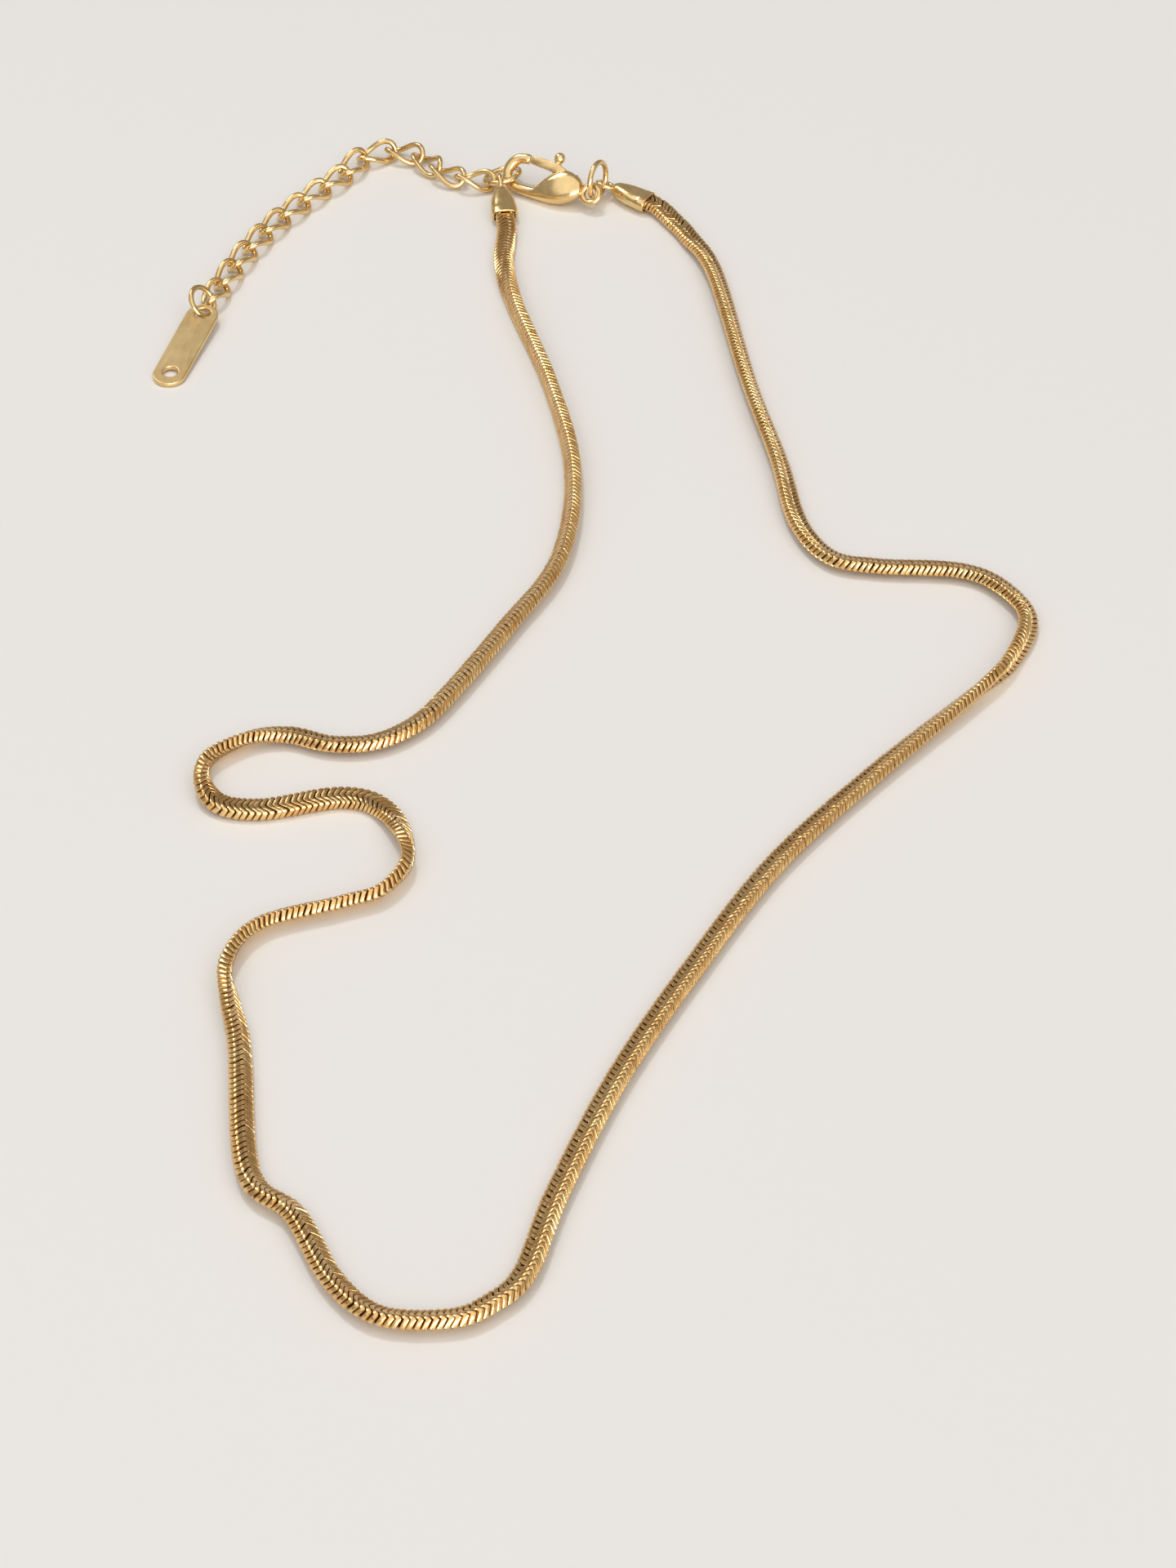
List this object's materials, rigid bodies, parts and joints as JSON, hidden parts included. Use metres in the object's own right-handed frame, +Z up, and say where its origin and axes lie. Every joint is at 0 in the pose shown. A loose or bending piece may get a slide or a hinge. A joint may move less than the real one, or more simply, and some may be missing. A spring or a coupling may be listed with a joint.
{
  "type": "choker necklace",
  "caption": "Thin flat chain choker lying closed in a loose loop, with end caps, jump rings, a sprung lobster clasp, a curb link extender and a plain oblong tag with a free hole.",
  "frame": {"origin": "middle of the outline in plan, on the surface that the choker lies on", "axes": "+Z up; +Y along the laid-out loop from the front of the neck chain to the clasp; +X to the right of that"},
  "size_m": [0.0864, 0.1606, 0.0049],
  "materials": {
    "chain_gold": "polished, faceted links, warm gold tone",
    "fitting_gold": "polished, warm gold tone"
  },
  "bodies": {
    "necklace": {"chain_left": "chain_gold", "chain_right": "chain_gold", "cap_left": "fitting_gold", "cap_right": "fitting_gold", "ring_left": "fitting_gold", "ring_right": "fitting_gold", "clasp_body": "fitting_gold", "extender_link_01": "fitting_gold", "extender_link_02": "fitting_gold", "extender_link_03": "fitting_gold", "extender_link_04": "fitting_gold", "extender_link_05": "fitting_gold", "extender_link_06": "fitting_gold", "extender_link_07": "fitting_gold", "extender_link_08": "fitting_gold", "extender_link_09": "fitting_gold", "extender_link_10": "fitting_gold", "extender_link_11": "fitting_gold", "extender_link_12": "fitting_gold", "extender_link_13": "fitting_gold", "extender_link_14": "fitting_gold", "tag_ring": "fitting_gold", "tag": "fitting_gold"},
    "lever": {"clasp_lever": "fitting_gold"}
  },
  "joints": [
    {"name": "lever_hinge", "type": "hinge", "parent": "necklace", "child": "lever", "pos_m": [-0.00139, 0.07129, 0.00252], "axis": [-0.3377, -0.6351, 0.6947], "range_deg": [0, 25], "stiffness_Nm_per_rad": 0.02}
  ]
}
